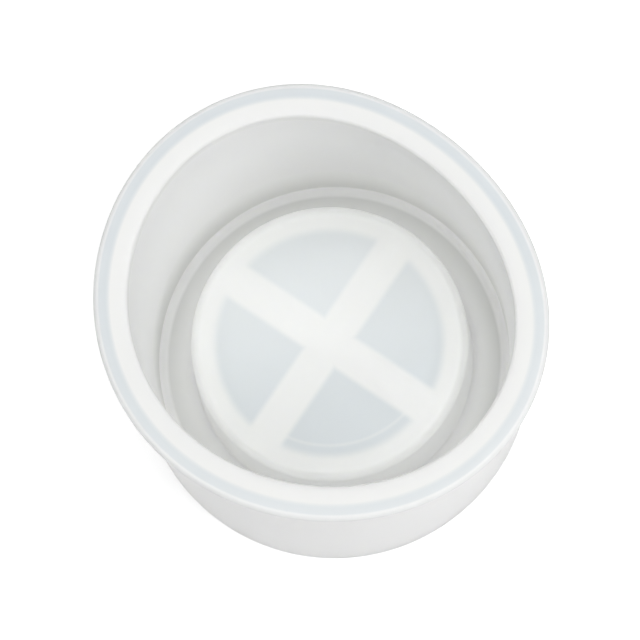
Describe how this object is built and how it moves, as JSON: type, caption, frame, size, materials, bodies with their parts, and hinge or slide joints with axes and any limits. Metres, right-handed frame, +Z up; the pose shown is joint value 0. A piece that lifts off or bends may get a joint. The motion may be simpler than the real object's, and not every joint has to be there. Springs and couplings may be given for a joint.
{
  "type": "resin casting mould",
  "caption": "Round one-piece silicone casting mould: straight cup with an overhanging lip, a ring-shaped floor channel and a raised hollow core stiffened by crossed ribs.",
  "frame": {"origin": "centre of the base's underside, on the axis of the cup", "axes": "+Z up out of the mouth, +X along the two rib arms that point the way the soft lip has relaxed widest, +Y along the other two arms"},
  "size_m": [0.0936, 0.0864, 0.08],
  "materials": {
    "silicone": "milky translucent silicone rubber, satin, bluish where it is thin"
  },
  "bodies": {
    "root": {"lip_flange": "silicone", "side_wall": "silicone", "channel_floor": "silicone", "core_wall": "silicone", "core_membrane": "silicone", "rib_hub": "silicone", "rib_right": "silicone", "rib_back": "silicone", "rib_left": "silicone", "rib_front": "silicone"}
  },
  "joints": []
}
